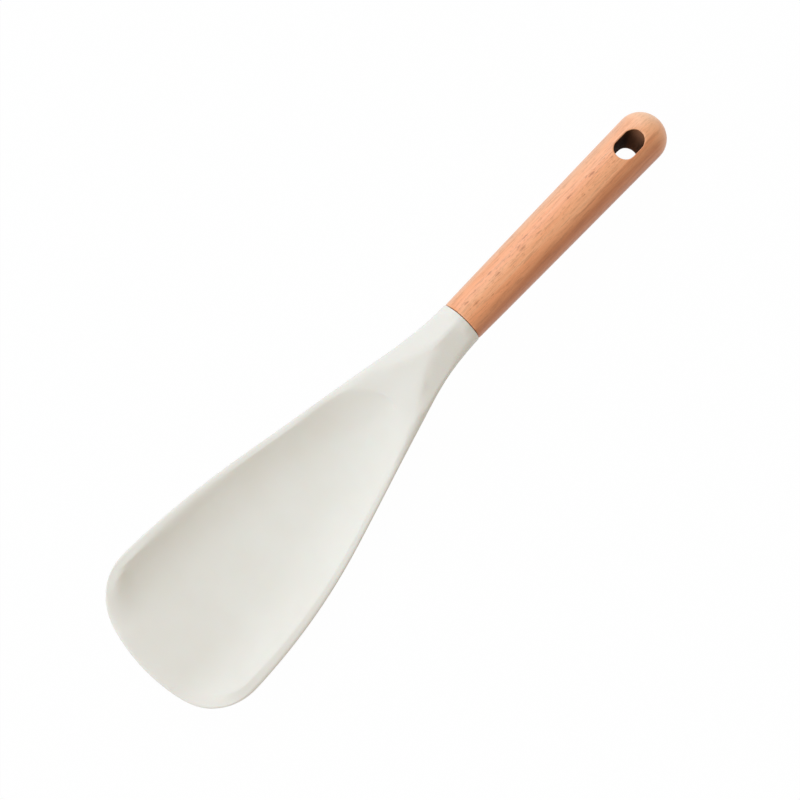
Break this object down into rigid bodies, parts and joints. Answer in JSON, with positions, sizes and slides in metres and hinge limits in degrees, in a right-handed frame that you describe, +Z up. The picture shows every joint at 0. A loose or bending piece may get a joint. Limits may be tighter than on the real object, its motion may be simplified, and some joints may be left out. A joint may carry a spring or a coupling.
{
  "type": "silicone spatula spoon",
  "caption": "Long spatula spoon: a shallow silicone bowl with a wide curved front edge, moulded over a nylon core, on a turned beech handle with a hanging slot.",
  "frame": {"origin": "on the floor, in the middle of the footprint of the spoon lying face up", "axes": "+X along the spoon from the scoop's lip towards the handle's end, +Z up, out of the open bowl"},
  "size_m": [0.339, 0.0868, 0.0379],
  "materials": {
    "silicone": "matte warm white silicone",
    "nylon": "as-moulded grey nylon",
    "glue": "cured amber epoxy",
    "beech": "sanded and oiled steamed beech"
  },
  "bodies": {
    "root": {"silicone_head": "silicone", "head_core": "nylon", "tang_glue": "glue", "beech_handle": "beech"}
  },
  "joints": []
}
